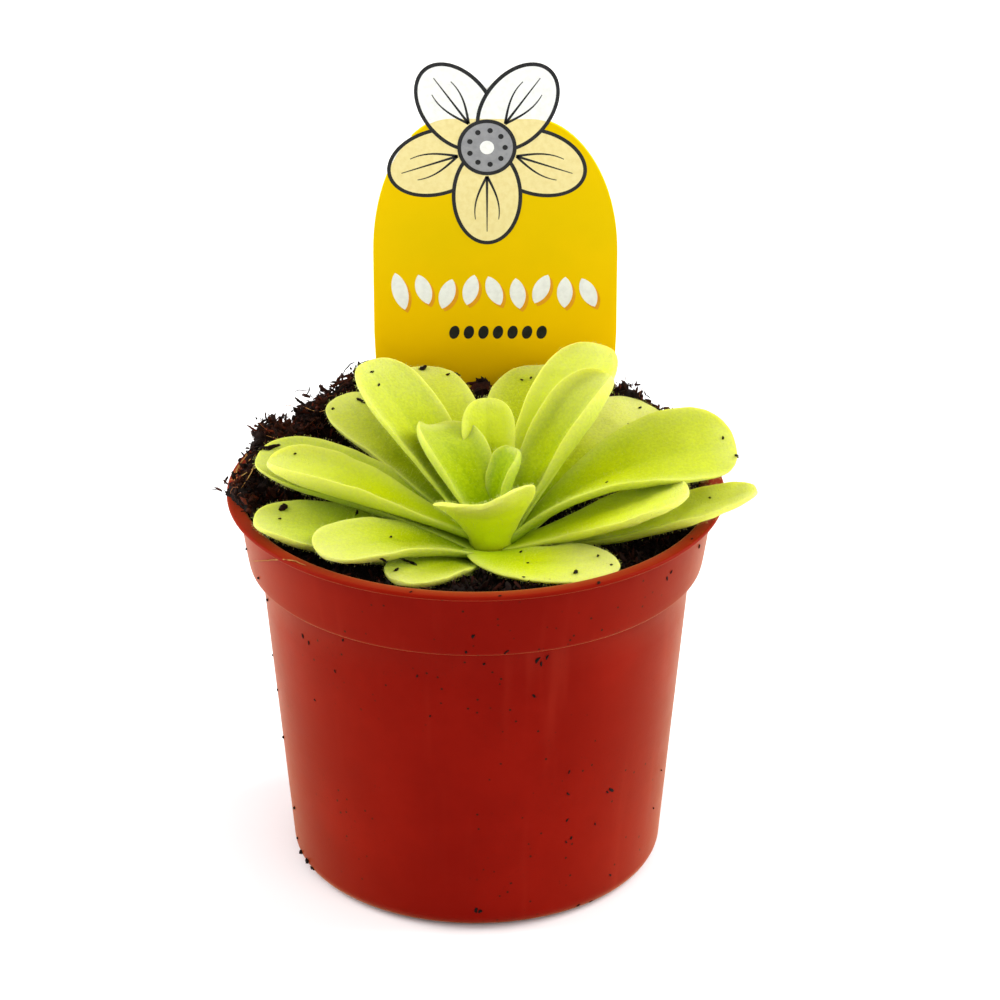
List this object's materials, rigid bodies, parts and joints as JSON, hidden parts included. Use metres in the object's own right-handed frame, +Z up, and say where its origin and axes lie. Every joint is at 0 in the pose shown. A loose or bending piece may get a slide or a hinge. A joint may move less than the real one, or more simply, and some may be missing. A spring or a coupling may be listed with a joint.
{
  "type": "potted butterwort",
  "caption": "Butterwort, a flat rosette of fleshy leaves, growing in a round plastic nursery pot of peat with an arched plant label behind it.",
  "frame": {"origin": "middle of the pot's foot, on the surface it stands on", "axes": "+Z up, -Y the front, the side that the label faces, +X to the right seen from the front"},
  "size_m": [0.0948, 0.09, 0.1428],
  "materials": {
    "pot": "satin",
    "peat": "matte",
    "stem": "matte",
    "leaf": "satin",
    "label": "satin"
  },
  "bodies": {
    "root": {"pot": "pot", "peat": "peat", "crown": "stem", "label": "label", "leaf_heart_1": "leaf", "leaf_heart_2": "leaf", "leaf_heart_3": "leaf", "leaf_heart_4": "leaf", "leaf_inner_1": "leaf", "leaf_inner_2": "leaf", "leaf_inner_3": "leaf", "leaf_inner_4": "leaf", "leaf_inner_5": "leaf", "leaf_middle_1": "leaf", "leaf_middle_2": "leaf", "leaf_middle_3": "leaf", "leaf_middle_4": "leaf", "leaf_middle_5": "leaf", "leaf_middle_6": "leaf", "leaf_outer_1": "leaf", "leaf_outer_2": "leaf", "leaf_outer_3": "leaf", "leaf_outer_4": "leaf", "leaf_outer_5": "leaf"}
  },
  "joints": []
}
